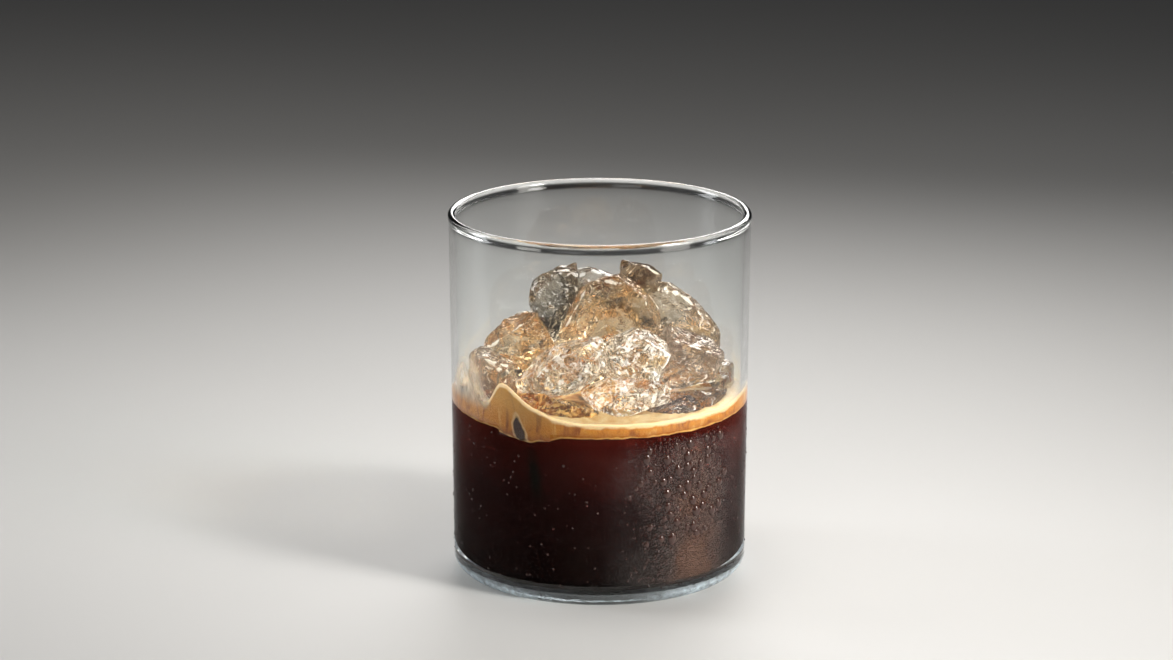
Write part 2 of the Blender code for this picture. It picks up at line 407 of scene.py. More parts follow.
def markWettedFaces(glass):
    # the second material goes on the inside and the third on the outside, up to the foam line,
    # and the fourth under the foot and round the heel
    for face in glass.data.polygons:
        x, y, z = face.center / mm
        onHeel = z < glassFinish["footTop"] and math.hypot(x, y) > glassShape["footInner"] + 1
        if z < glassShape["punt"] + 0.1 or onHeel and z < glassShape["floor"] - 0.1:
            face.material_index = 3
            continue
        if z < foamShape["line"] + 1 - foamSag(x, y):
            reach = math.hypot(x, y)
            if reach < innerRadius(z) + 0.4 and z > glassShape["floor"] - 1:
                face.material_index = 1
            elif reach > innerRadius(z) + 1 and z > glassShape["heel"] + 2:
                face.material_index = 2


def mistedGlassMaterial():
    material, tree, shader = newMaterial("mistedGlass")
    shader.inputs["IOR"].default_value = glassFinish["mistedIor"]
    mistTop = glassFinish["mistTop"]
    cold = rangeValue(tree, heightValue(tree), mistTop, mistTop - 0.004, 0, 1)
    off = calculate(tree, "SUBTRACT", turnAngle(tree), math.radians(glassFinish["mistMiddle"]))
    off = calculate(tree, "ABSOLUTE", off)
    across = rangeValue(tree, off, math.radians(38), math.radians(6), 0.2, 1)
    across = calculate(tree, "POWER", across, 2.0)  # fades softly at its sides
    patches = rangeValue(tree, noiseValue(tree, 90, 2), 0.35, 0.65, 0.4, 1)
    mist = calculate(tree, "MULTIPLY", calculate(tree, "MULTIPLY", cold, across), patches)
    beadShape = rangeValue(tree, cellValue(tree, objectCoordinates(tree), 2000), 0.15, 0.5, 1, 0.25)
    # partly a painted sheen: more mist in a patch low on the right, to brighten it there
    sheen = ovalDistance(tree, glassFinish["sheen"], glassFinish["sheenSize"], 10)
    sheen = rangeValue(tree, sheen, 0.2, 1.2, glassFinish["sheenShare"], 0)
    mist = calculate(tree, "ADD", mist, sheen)
    thickness = calculate(tree, "MULTIPLY", beadShape, mist)
    colour = mixColours(tree, mist, glassFinish["tint"], glassFinish["mistColour"])
    tree.links.new(colour, shader.inputs["Base Color"])
    tree.links.new(
        rangeValue(tree, thickness, 0, 1, 1, 1 - glassFinish["mistShare"]),
        shader.inputs["Transmission Weight"],
    )
    tree.links.new(rangeValue(tree, mist, 0, 1, 0.0, 0.15), shader.inputs["Roughness"])
    letLampsThrough(tree, shader, glassFinish["lampTint"])
    return material


# the ice

iceLumps = [
    "ice_wedge", "ice_front_left", "ice_front_right", "ice_front_low", "ice_slab_right",
    "ice_crown_right", "ice_crown_left", "ice_peak_right", "ice_peak_back", "ice_left",
    "ice_wall_left", "ice_right_low", "ice_wall_right", "ice_sunk_front", "ice_core",
    "ice_back_left", "ice_back", "ice_back_right",
]

iceShape = {
    "grain": 0.28 * mm,  # size of the faces
    # pattern: kind, size across, what the size is multiplied by along the turned axes
    "patterns": {
        "dents": ("CLOUDS", 7 * mm, (1, 1, 1)),
        "scoops": ("VORONOI", 4.6 * mm, (1, 1, 1)),
        "ledges": ("MUSGRAVE", 4 * mm, (2.6, 2.6, 0.7)),
        "crinkles": ("MUSGRAVE", 1.2 * mm, (1.8, 1.8, 0.8)),
        "ripples": ("CLOUDS", 0.7 * mm, (1, 1, 1)),
    },
    # character: flat cuts, rounds of smoothing, then the depth of each pattern in mm
    "characters": {
        "glassy": (3, 12, -1.5, 0.7, 0.3, 0.06, 0.03),
        "plate": (5, 2, -0.3, 0.4, 0.25, 0.2, 0.05),
        "cut": (7, 2, -0.3, 0.45, 0.35, 0.28, 0.06),
        "layered": (4, 2, -0.4, 0.2, 1.2, 0.45, 0.12),
        "rough": (6, 5, -1.2, 0.8, 0.5, 0.4, 0.2),
    },
    "cutDepth": (0.86, 0.98),  # how far out a cut lies, as a share of the lump
    "edgeHighlightWidth": 1 * mm,
    # the broad flat faces of the lumps that show: way out, share of the lump
    "faces": {
        "ice_wedge": (
            ((0.05, -1, 0.3), 0.62), ((-0.85, -0.1, 0.5), 0.72), ((0.85, -0.2, 0.3), 0.82),
            ((0.1, -0.65, 0.8), 0.84),
        ),
        "ice_front_right": (
            ((0.15, -1, 0.25), 0.66), ((0.55, -0.2, 0.8), 0.76), ((0.9, -0.2, -0.4), 0.86),
        ),
        "ice_front_left": (
            ((-0.1, -1, 0.2), 0.62), ((-0.75, -0.2, 0.65), 0.72), ((0.1, -0.2, -1), 0.8),
        ),
        "ice_front_low": (
            ((0, -1, 0.1), 0.7), ((0.35, -0.2, -0.93), 0.78), ((-0.8, -0.2, -0.6), 0.75),
        ),
        "ice_slab_right": (
            ((0.2, -1, 0.1), 0.66), ((0.4, -0.2, 0.9), 0.78), ((0.2, -0.2, -0.95), 0.78),
        ),
        "ice_crown_right": (((0.2, -1, 0.2), 0.66), ((0.75, -0.1, 0.65), 0.84)),
        "ice_left": (((-0.2, -1, 0.2), 0.7), ((-0.6, -0.2, 0.8), 0.82)),
        "ice_peak_right": (
            ((0.3, -1, 0.2), 0.62), ((0.5, 0, 0.85), 0.78), ((-0.6, -0.2, 0.7), 0.8),
        ),
        "ice_peak_back": (((0, -1, 0.3), 0.7), ((-0.1, -0.5, 0.85), 0.6), ((0.3, 0, 1), 0.8)),
        "ice_wall_left": (((-0.2, -1, 0.1), 0.75), ((0.3, -0.2, 0.9), 0.85)),
        "ice_right_low": (((0.2, -0.5, 0.85), 0.75),),
    },
    # thin horns on the rims of lumps: place, way out, length, how wide
    "horns": {
        "ice_crown_left": (((-7, 0, 84), (0.35, -0.1, 1), 2.4, 1.5), ((-17, 0, 79), (-1, 0, 1), 1, 3)),
        "ice_peak_right": (((7, 7, 83), (-0.5, -0.1, 1), 2.2, 1.6),),
        "ice_front_left": (((-21, -16, 56.5), (-1, 0, -0.5), 2, 2),),
        "ice_left": (((-25, -5, 69), (-0.5, 0, 1), 1.6, 2),),
        "ice_slab_right": (((32, -11, 62), (1, 0, -0.1), 1.6, 2.2),),
    },
    "cracks": 6,  # for each lump
    "crackSize": (1.6, 5),
    "bubbles": 22,
    "bubbleSize": (0.1, 0.3),
    "seed": 12,
}

iceCharacters = {
    "ice_crown_left": "glassy", "ice_wall_left": "cut", "ice_peak_right": "plate",
    "ice_peak_back": "plate", "ice_wedge": "plate", "ice_left": "cut",
    "ice_front_right": "cut", "ice_front_low": "cut", "ice_front_left": "cut",
    "ice_crown_right": "cut", "ice_slab_right": "layered", "ice_right_low": "layered",
    "ice_sunk_front": "layered", "ice_wall_right": "glassy",
}


def copyOfNode(nodeName, pieceName):
    source = frame["nodes"][nodeName]
    piece = source.copy()
    piece.data = source.data.copy()
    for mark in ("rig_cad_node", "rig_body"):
        if mark in piece:
            del piece[mark]
    piece.parent = None
    bpy.context.scene.collection.objects.link(piece)
    piece.hide_viewport = piece.hide_render = False
    piece.hide_set(False)
    nameIt(piece, pieceName)
    onlySelect(piece)
    bpy.ops.object.mode_set(mode="EDIT")
    bpy.ops.mesh.select_all(action="SELECT")
    bpy.ops.mesh.remove_doubles(threshold=0.00001)
    bpy.ops.mesh.normals_make_consistent(inside=False)
    bpy.ops.object.mode_set(mode="OBJECT")
    return piece


def camelName(nodeName):
    first, *rest = nodeName.split("_")
    return first + "".join(word.capitalize() for word in rest)


def randomDirection(draw):
    return Vector((draw.gauss(0, 1), draw.gauss(0, 1), draw.gauss(0, 1))).normalized()


def cutFlats(piece, nodeName, count, draw):
    # slices thin caps off the lump, which leaves flat faces with crisp edges
    corners = [Vector(point) for point in readPoints(piece)]
    middle = sum(corners, Vector()) / len(corners)
    cuts = [(Vector(way).normalized(), share) for way, share in iceShape["faces"].get(nodeName, ())]
    cuts += [(randomDirection(draw), draw.uniform(*iceShape["cutDepth"])) for _ in range(count)]
    onlySelect(piece)
    bpy.ops.object.mode_set(mode="EDIT")
    planes = []
    for outwards, share in cuts:
        reach = max((corner - middle).dot(outwards) for corner in corners)
        place = middle + outwards * reach * share
        bpy.ops.mesh.select_all(action="SELECT")
        bpy.ops.mesh.bisect(plane_co=place, plane_no=outwards, use_fill=True, clear_outer=True)
        planes.append((np.array(place), np.array(outwards)))
    bpy.ops.object.mode_set(mode="OBJECT")
    return planes


def markEdgeHighlights(piece, planes):
    # where two flat faces meet the ice gets a painted white highlight: 1 on the edge, 0 from the given width
    # away
    points = readPoints(piece)
    depths = np.sort([np.abs((points - place) @ way) for place, way in planes], axis=0)
    edge = np.clip(1 - depths[1] / iceShape["edgeHighlightWidth"], 0, 1)
    attribute = piece.data.attributes.new("edge", "FLOAT", "POINT")
    attribute.data.foreach_set("value", edge.astype(np.float32))


def pullHorns(piece, nodeName):
    points = readPoints(piece)
    for place, way, length, width in iceShape["horns"].get(nodeName, ()):
        away = np.linalg.norm(points - np.array(place) * mm, axis=1) / (width * mm)
        pull = length * mm * np.exp(-(away**2))
        points += pull[:, None] * np.array(Vector(way).normalized())
    writePoints(piece, points)


def iceTree(piece):
    return BVHTree.FromPolygons(
        [v.co / mm for v in piece.data.vertices], [p.vertices[:] for p in piece.data.polygons]
    )


def roomInside(tree, low, high, draw, leastRoom):
    # a place inside the lump, and how far the surface is from there
    for _ in range(60):
        place = Vector([draw.uniform(a, b) for a, b in zip(low, high)])
        near, normal, _, distance = tree.find_nearest(place)
        if distance > leastRoom and (place - near).dot(normal) < 0:
            return place, distance
    return None, 0


def addFlaws(piece, balls, draw):
    # thin cracks and small bubbles of air inside the lump: closed hollows that face inwards
    tree = iceTree(piece)
    points = readPoints(piece) / mm
    low, high = points.min(0), points.max(0)
    allPoints, allFaces, count = [], [], 0
    sizes = [("crack", iceShape["crackSize"])] * iceShape["cracks"]
    sizes += [("bubble", iceShape["bubbleSize"])] * iceShape["bubbles"]
    for kind, (small, large) in sizes:
        place, room = roomInside(tree, low, high, draw, small + 0.3)
        turn = randomDirection(draw).to_track_quat("Z", "Y").to_matrix()
        size = min(draw.uniform(small, large), room * 0.9)
        if place is None:
            continue
        hollow = readPoints(balls[kind]) * size
        faces = np.array([p.vertices[:] for p in balls[kind].data.polygons])[:, ::-1]
        if kind == "crack":
            hollow[:, 1] *= draw.uniform(0.5, 0.9)
            hollow[:, 2] *= draw.uniform(0.015, 0.03)
            wave = [noise.noise(Vector((x, y, size)) / 1.6) for x, y, _ in hollow]
            hollow[:, 2] += np.array(wave) * size * 0.22
        allFaces.append(faces + count)
        allPoints.append(hollow @ np.array(turn).T + np.array(place))
        count += len(hollow)
    flaws = pieceFromFaces("iceFlaws", allPoints, allFaces)
    onlySelect(piece)
    flaws.select_set(True)
    bpy.ops.object.join()


def makeIce(nodeName, patterns, balls, draw):
    cuts, rounding, *depths = iceShape["characters"][iceCharacters.get(nodeName, "rough")]
    piece = copyOfNode(nodeName, camelName(nodeName))
    planes = cutFlats(piece, nodeName, cuts, draw)
    applyModifier(piece, "REMESH", mode="VOXEL", voxel_size=iceShape["grain"])
    applyModifier(piece, "SMOOTH", factor=0.7, iterations=rounding)
    for (texture, guide), depth in zip(patterns, depths):
        guide.rotation_euler = [draw.uniform(-0.6, 0.6) for _ in range(3)]
        bpy.context.view_layer.update()
        applyModifier(
            piece, "DISPLACE", texture=texture, strength=depth * mm, mid_level=0.45,
            texture_coords="OBJECT", texture_coords_object=guide,
        )
    markEdgeHighlights(piece, planes)
    pullHorns(piece, nodeName)
    addFlaws(piece, balls, draw)
    bpy.ops.object.shade_smooth()
    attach(piece, "root")
    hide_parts(nodeName)
    return piece


def makeAllIce():
    draw = random.Random(iceShape["seed"])
    balls = {}
    for kind, fineness in (("crack", 3), ("bubble", 2)):
        deselectAll()
        bpy.ops.mesh.primitive_ico_sphere_add(subdivisions=fineness, radius=1, location=(0, 0, 0))
        balls[kind] = bpy.context.object
    patterns = []
    for name, (kind, size, stretch) in iceShape["patterns"].items():
        texture = bpy.data.textures.new("ice" + name.capitalize(), kind)
        texture.noise_scale = size
        if kind == "MUSGRAVE":
            texture.musgrave_type = "RIDGED_MULTIFRACTAL"
            texture.noise_intensity = 0.4
        guide = bpy.data.objects.new("guide" + name.capitalize(), None)
        bpy.context.scene.collection.objects.link(guide)
        guide.scale = stretch
        patterns.append((texture, guide))
    made = [makeIce(nodeName, patterns, balls, draw) for nodeName in iceLumps]
    for helper in [guide for _, guide in patterns] + list(balls.values()):
        bpy.data.objects.remove(helper)
    print("ice made:", len(made), "lumps,", sum(len(p.data.polygons) for p in made), "faces")
    return made


iceFinish = {
    "ior": 1.31,
    "depthTint": (0.86, 0.8, 0.7),  # what thick ice leaves of the light
    "depthDensity": 58,
    # name: clear colour, stained colour, where the stain starts, colour of frost and painted highlights,
    # where the frost starts
    "kinds": {
        "wetIce": ((0.93, 0.91, 0.87), (0.8, 0.64, 0.43), 0.6, (0.95, 0.93, 0.88), 0.6),
        # the clear colours of the next two are dark to stand in for dark surroundings seen through the ice: a
        # painted reflection
        "paintedDarkIce": ((0.44, 0.4, 0.34), (0.3, 0.24, 0.17), 0.54, (1, 0.99, 0.96), 0.55),
        "paintedBrownIce": ((0.5, 0.38, 0.26), (0.36, 0.24, 0.14), 0.5, (0.85, 0.75, 0.6), 0.6),
        "frostyIce": ((1, 0.98, 0.95), (0.88, 0.66, 0.34), 0.58, (1, 0.98, 0.94), 0.5),
        "paleIce": ((0.62, 0.53, 0.41), (0.55, 0.4, 0.24), 0.52, (0.95, 0.88, 0.76), 0.55),
        "smokyIce": ((0.68, 0.58, 0.5), (0.46, 0.34, 0.26), 0.5, (0.95, 0.9, 0.83), 0.58),
        "tanIce": ((1, 0.86, 0.67), (0.98, 0.63, 0.31), 0.53, (0.95, 0.88, 0.76), 0.62),
        "stainedIce": ((0.85, 0.52, 0.17), (0.8, 0.36, 0.05), 0.5, (0.8, 0.46, 0.13), 0.46),
    },
    "crease": (0.3, 0.23, 0.16),  # painted shade: the hollows are darker
    "lumps": {
        "paintedDarkIce": ("iceCrownLeft", "icePeakBack", "iceWallRight"),
        "paintedBrownIce": ("icePeakRight",),
        "frostyIce": ("iceFrontLeft", "iceFrontRight", "iceFrontLow"),
        "paleIce": ("iceCrownRight", "iceWallLeft"),
        "smokyIce": ("iceSlabRight", "iceRightLow"),
        "tanIce": ("iceWedge", "iceLeft", "iceCore"),
        "stainedIce": ("iceSunkFront",),
    },
}


def threadLines(tree, scale, thickness):
    # thin curling lines, where a noise crosses its middle value
    value = noiseValue(tree, scale, 2.0, 0.5, 1.5)
    away = calculate(tree, "ABSOLUTE", calculate(tree, "SUBTRACT", value, 0.5))
    return rangeValue(tree, away, 0, thickness, 1, 0)


def iceMaterial(name):
    clear, stained, stainStart, frostAndHighlightColour, frostStart = iceFinish["kinds"][name]
    material, tree, shader = newMaterial(name)
    shader.inputs["IOR"].default_value = iceFinish["ior"]
    stain = rangeValue(tree, noiseValue(tree, 150, 3, 0.6), stainStart, stainStart + 0.12, 0, 1)
    shade = mixColours(tree, stain, clear, stained)
    # white frost in patches, which also stands in for bright spots: partly frost, partly painted highlight
    patches = noiseValue(tree, 430, 3, 0.6, 1.6)
    frostAndHighlights = rangeValue(tree, patches, frostStart + 0.03, frostStart + 0.1, 0, 0.9)
    # thin white curling lines: painted highlights
    threadHighlights = calculate(tree, "MAXIMUM", threadLines(tree, 150, 0.007), threadLines(tree, 340, 0.011))
    some = rangeValue(tree, noiseValue(tree, 120, 2), 0.42, 0.56, 0.1, 0.9)
    frostAndHighlights = calculate(tree, "MAXIMUM", frostAndHighlights, calculate(tree, "MULTIPLY", threadHighlights, some))
    bend = addNode(tree, "ShaderNodeNewGeometry").outputs["Pointiness"]
    # painted shade: the hollows are darkened
    hollow = rangeValue(tree, bend, 0.47, 0.41, 0, 1)
    shade = mixColours(tree, hollow, shade, iceFinish["crease"])
    # painted highlights: white along the ridges
    ridgeHighlight = rangeValue(tree, bend, 0.55, 0.62, 0, 1)
    # painted highlights along the edges where flat faces meet, broken up by a noise
    edgeBreakup = rangeValue(tree, noiseValue(tree, 420, 3), 0.35, 0.65, -0.45, 0.25)
    edge = rangeValue(tree, calculate(tree, "ADD", attributeValue(tree, "edge"), edgeBreakup), 0.55, 0.75, 0, 1)
    frostAndHighlights = calculate(tree, "MAXIMUM", frostAndHighlights, calculate(tree, "MAXIMUM", ridgeHighlight, edge))
    tree.links.new(mixColours(tree, frostAndHighlights, shade, frostAndHighlightColour), shader.inputs["Base Color"])
    addBump(tree, shader, noiseValue(tree, 1300, 3, 0.6), 0.2, 0.00006)
    tree.links.new(rangeValue(tree, frostAndHighlights, 0, 1, 1, 0.5), shader.inputs["Transmission Weight"])
    tree.links.new(rangeValue(tree, frostAndHighlights, 0, 1, 0.0, 0.3), shader.inputs["Roughness"])
    addDepthColour(tree, iceFinish["depthTint"], iceFinish["depthDensity"])
    letLampsThrough(tree, shader, (0.85, 0.82, 0.76))
    return material


# the foam

foamShape = {
    "line": 47,  # height of its underside at the wall
    "thickness": 3.5,
    "sag": (-30, 11, 2.3),  # angle, width, depth
    # angle, width on its left and right, height
    "crests": [(-42, 5.5, 7.5, 6.6), (-33, 10, 14, 4.6), (-66, 12, 10, 12.5), (82, 14, 14, 2)],
    "crestSpread": 4.5,
    "filmAngles": (-48, 62),  # beyond these the foam is only a film on the wall
    "ragged": 0.4,  # unevenness of its lower edge
    "heaps": [(30, -10, 1.6, 5), (-14, 27, 1.6, 8)],  # across, along, height, spread
    "creep": (1.1, 1.0),  # how high and how far it creeps up the ice
    "intoWall": 0.12,
    "iceInside": 0.15,  # how far the ice reaches into the foam's and the drink's pockets
    "sides": 240,
}


def foamSag(x, y):
    angle, width, depth = foamShape["sag"]
    here = math.degrees(math.atan2(x, -y))
    nearWall = min(1, math.hypot(x, y) / innerRadius(foamShape["line"])) ** 6
    ragged = noise.noise(Vector((x, y, 0)) / 2.4) + noise.noise(Vector((x, y, 5)) / 1.1) * 0.5
    return (depth * math.exp(-(((here - angle) / width) ** 2)) + foamShape["ragged"] * ragged) * nearWall


def foamRise(x, y):
    here = math.degrees(math.atan2(x, -y))
    inwards = max(0, innerRadius(foamShape["line"]) - math.hypot(x, y))
    clinging = sum(
        height * math.exp(-(((here - angle) / (left if here < angle else right)) ** 2))
        for angle, left, right, height in foamShape["crests"]
    ) * math.exp(-((inwards / foamShape["crestSpread"]) ** 2))
    heaped = sum(
        height * math.exp(-((x - across) ** 2 + (y - along) ** 2) / spread**2)
        for across, along, height, spread in foamShape["heaps"]
    )
    uneven = noise.noise(Vector((x, y, 0)) / 9) * 0.5 + noise.noise(Vector((x, y, 3)) / 3) * 0.18
    return clinging + heaped + uneven


def heapTree():
    points, faces = [], []
    for nodeName in iceLumps:
        mesh = frame["nodes"][nodeName].data
        start = len(points)
        points += [v.co / mm for v in mesh.vertices]
        faces += [[start + i for i in p.vertices] for p in mesh.polygons]
    return BVHTree.FromPolygons(points, faces)


def makeRoomForIce(piece, lowest):
    cutter = iceCutters(foamShape["iceInside"], lowest)
    applyModifier(piece, "BOOLEAN", operation="DIFFERENCE", object=cutter, solver="MANIFOLD")
    bpy.data.objects.remove(cutter)


def iceCutters(shrink, lowest):
    # slightly smaller copies of the lumps that reach below this height, joined
    copies = []
    for nodeName in iceLumps:
        low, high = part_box(nodeName)
        if low.z < lowest * mm:
            piece = copyOfNode(nodeName, "cutter_" + nodeName)
            applyModifier(piece, "DISPLACE", strength=-shrink * mm, mid_level=0)
            copies.append(piece)
    deselectAll()
    for piece in copies:
        piece.select_set(True)
    bpy.context.view_layer.objects.active = copies[0]
    bpy.ops.object.join()
    return bpy.context.object


def makeFoam(tree):
    f = foamShape
    wall = innerRadius(f["line"]) + f["intoWall"]
    under, over = f["line"] - 0.1, f["line"] + f["thickness"]
    edge = wall - 1.5
    outline = (
        [(0, under)]
        + spacedPoints((2, under), (edge, under), 12)
        + spacedPoints((edge, under), (wall, under), 3)
        + spacedPoints((wall, under), (wall, over), 12)
        + spacedPoints((wall, over), (edge, over), 6)
        + spacedPoints((edge, over), (1, over), 46)
        + [(0, over)]
    )
    foam = turnedPiece("cremaFoam", outline, f["sides"])
    points = readPoints(foam) / mm
    riseHigh, riseWide = f["creep"]
    for i, (x, y, z) in enumerate(points):
        share = (z - under) / (over - under)
        rise = foamRise(x, y)
        if share > 0.99:
            place = Vector((x, y, over + rise))
            near = tree.find_nearest(place)
            distance = near[3] if near[0] is not None else 9
            rise += riseHigh * math.exp(-distance / riseWide)
            rise += 0.5 * math.exp(-max(0, wall - math.hypot(x, y)) / 0.6)
        points[i, 2] = z + share * rise - (1 - share) * foamSag(x, y)
        reach = math.hypot(x, y)
        if reach > wall - 0.01:
            wider = (innerRadius(points[i, 2]) + f["intoWall"]) / reach
            points[i, :2] *= wider
    writePoints(foam, points * mm)
    makeRoomForIce(foam, 52)
    markFoam(foam)
    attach(foam, "root")
    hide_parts("crema")
    print("foam made:", len(foam.data.polygons), "faces")
    return foam


def markFoam(foam):
    # marks for the material: mm above the lower edge, mm below the upper edge, and how far
    # the foam has thinned to a film on the wall
    f = foamShape
    above, below, film = [], [], []
    first, last = f["filmAngles"]
    for x, y, z in readPoints(foam) / mm:
        above.append(z - (f["line"] - foamSag(x, y)))
        below.append(f["line"] + f["thickness"] + foamRise(x, y) - z)
        here = math.degrees(math.atan2(x, -y)) + 3 * noise.noise(Vector((x, y, z)) / 2)
        aside = min(1, max(0, max(first - here, here - last) / 3))
        film.append(aside * min(1, max(0, (z - 51) / 3)))
    for name, values in (("aboveEdge", above), ("belowEdge", below), ("film", film)):
        mark = foam.data.attributes.new(name, "FLOAT", "POINT")
        mark.data.foreach_set("value", values)


foamFinish = {
    "coffee": (0.03, 0.013, 0.007),  # between the lumps, where the foam has broken up
    "gap": (0.035, 0.012, 0.006),
    "brokenDeep": (0.28, 0.12, 0.028),
    "brokenPale": (0.55, 0.4, 0.21),
    "topDeep": (0.27, 0.145, 0.04),
    "topPale": (0.37, 0.27, 0.14),
    "deep": (0.2, 0.055, 0.004),
    "golden": (0.42, 0.16, 0.013),
    "pale": (0.56, 0.33, 0.1),
    "cream": (0.66, 0.51, 0.29),
    "lavender": (0.4, 0.33, 0.27),
    "film": (0.6, 0.52, 0.41),
    "roughness": 0.38,
    "ringStart": 0.02,  # the whole foam lies outside this radius
    "window": (-20.9, -32.4, 47.6),  # a gap that shows the drink behind the wall
    "windowSize": (1.5, 2, 3.7),
    "windowLean": -18,
}


def attributeValue(tree, name):
    return addNode(tree, "ShaderNodeAttribute", attribute_name=name).outputs["Fac"]


def ovalDistance(tree, centre, size, lean):
    # 0 in the middle of an oval and 1 on its rim; sizes in mm, lean in degrees
    inOval = addNode(
        tree,
        "ShaderNodeMapping",
        {
            "Vector": objectCoordinates(tree),
            "Location": tuple(c * mm for c in centre),
            "Rotation": (0, math.radians(lean), 0),
            "Scale": tuple(s * mm for s in size),
        },
        vector_type="TEXTURE",
    ).outputs["Vector"]
    return addNode(tree, "ShaderNodeVectorMath", {0: inOval}, operation="LENGTH").outputs["Value"]


def foamMaterial():
    material, tree, shader = newMaterial("cremaFoam")
    look = foamFinish
    place = objectCoordinates(tree)
    flow = addNode(tree, "ShaderNodeMapping", {"Vector": place, "Scale": (1, 1, 0.35)}).outputs["Vector"]
    flat = addNode(tree, "ShaderNodeMapping", {"Vector": place, "Scale": (1, 1, 0)}).outputs["Vector"]
    radius = addNode(tree, "ShaderNodeVectorMath", {0: flat}, operation="LENGTH").outputs["Value"]
    streaks = addNode(
        tree,
        "ShaderNodeTexNoise",
        {"Vector": flow, "Scale": 260, "Detail": 4, "Roughness": 0.6, "Distortion": 0.8},
    ).outputs["Fac"]
    band = ramp(
        tree,
        streaks,
        [(0.38, look["deep"]), (0.5, look["golden"]), (0.6, look["golden"]), (0.7, look["pale"])],
    )
    above, below = attributeValue(tree, "aboveEdge"), attributeValue(tree, "belowEdge")
    wobble = rangeValue(tree, noiseValue(tree, 330, 3), 0.3, 0.7, -0.35, 0.35)
    # thin cream lines along both edges, and a deeper tone just above the drink
    lowBand = rangeValue(tree, calculate(tree, "ADD", above, wobble), 0.5, 2.2, 0.75, 0)
    band = mixColours(tree, lowBand, band, look["deep"])
    lowLine = rangeValue(tree, calculate(tree, "ADD", above, wobble), 0.15, 0.5, 0.9, 0)
    band = mixColours(tree, lowLine, band, look["pale"])
    # a crest is paler towards its top
    crest = rangeValue(tree, calculate(tree, "ADD", above, wobble), 3, 9, 0, 0.6)
    band = mixColours(tree, crest, band, look["pale"])
    topColour = ramp(
        tree, noiseValue(tree, 240, 4, 0.6, 0.7), [(0.35, look["topDeep"]), (0.58, look["topPale"])]
    )
    upward = addNode(
        tree, "ShaderNodeSeparateXYZ", {"Vector": addNode(tree, "ShaderNodeNewGeometry").outputs["Normal"]}
    ).outputs["Z"]
    band = mixColours(tree, rangeValue(tree, upward, 0.3, 0.6, 0, 1), band, topColour)
    topLine = rangeValue(tree, calculate(tree, "ADD", below, wobble), 0.3, 0.9, 0.85, 0)
    nearWall = rangeValue(tree, radius, 0.0366, 0.0378, 0, 1)
    band = mixColours(tree, calculate(tree, "MULTIPLY", topLine, nearWall), band, look["cream"])
    # high on the wall the foam is a thin grey cream film full of small bubbles
    film = rangeValue(tree, attributeValue(tree, "film"), 0, 1, 0, 0.9)
    filmColour = ramp(tree, cellValue(tree, flow, 1500), [(0.12, look["lavender"]), (0.4, look["film"])])
    band = mixColours(tree, film, band, filmColour)
    broken = ramp(
        tree,
        noiseValue(tree, 190, 4, 0.6, 0.5),
        [(0.4, look["coffee"]), (0.5, look["brokenDeep"]), (0.62, look["brokenPale"])],
    )
    ring = rangeValue(
        tree, calculate(tree, "ADD", radius, calculate(tree, "MULTIPLY", wobble, 0.006)),
        look["ringStart"], look["ringStart"] + 0.006, 0, 1,
    )
    colour = mixColours(tree, ring, broken, band)
    # the gap
    distance = ovalDistance(tree, look["window"], look["windowSize"], look["windowLean"])
    distance = calculate(tree, "ADD", distance, calculate(tree, "MULTIPLY", wobble, 0.6))
    colour = mixColours(tree, rangeValue(tree, distance, 1.2, 1.4, 0.5, 0), colour, look["cream"])
    gapColour = ramp(tree, streaks, [(0.6, look["gap"]), (0.8, look["lavender"])])
    colour = mixColours(tree, rangeValue(tree, distance, 0.85, 1.1, 1, 0), colour, gapColour)
    tree.links.new(colour, shader.inputs["Base Color"])
    holes = rangeValue(tree, streaks, 0.4, 0.6, 0.75, 0.25)
    holes = calculate(tree, "MAXIMUM", holes, rangeValue(tree, below, 0.2, 4, 0.85, 0))
    thinness = calculate(tree, "MULTIPLY", attributeValue(tree, "film"), holes)
    tree.links.new(rangeValue(tree, thinness, 0, 1, 1, 0), shader.inputs["Alpha"])
    shader.inputs["Roughness"].default_value = look["roughness"]
    shader.inputs["Specular IOR Level"].default_value = 0.25
    shader.inputs["Subsurface Weight"].default_value = 0.25
    shader.inputs["Subsurface Radius"].default_value = (1.0, 0.5, 0.2)
    shader.inputs["Subsurface Scale"].default_value = 0.001
    addBump(tree, shader, cellValue(tree, objectCoordinates(tree), 1400), 0.35, 0.0002)
    return material


# the coffee

coffeeFinish = {
    "absorb": (0.74, 0.3, 0.12),  # the colour that is left after a short way through it
    "density": 300,
    "ior": 1.33,
    "top": (0.07, 0.009, 0.006),  # painted light: lighter and redder at the top, as if lit from above
    "middle": (0.018, 0.0035, 0.003),
    "bottom": (0.009, 0.003, 0.002),
    "clearness": 0.5,
    "streak": (-17.3, -35, 36),  # a darker, greener streak hangs under the gap in the foam
    "streakSize": (2.2, 4, 8.5),
    "streakColour": (0.003, 0.007, 0.004),
}


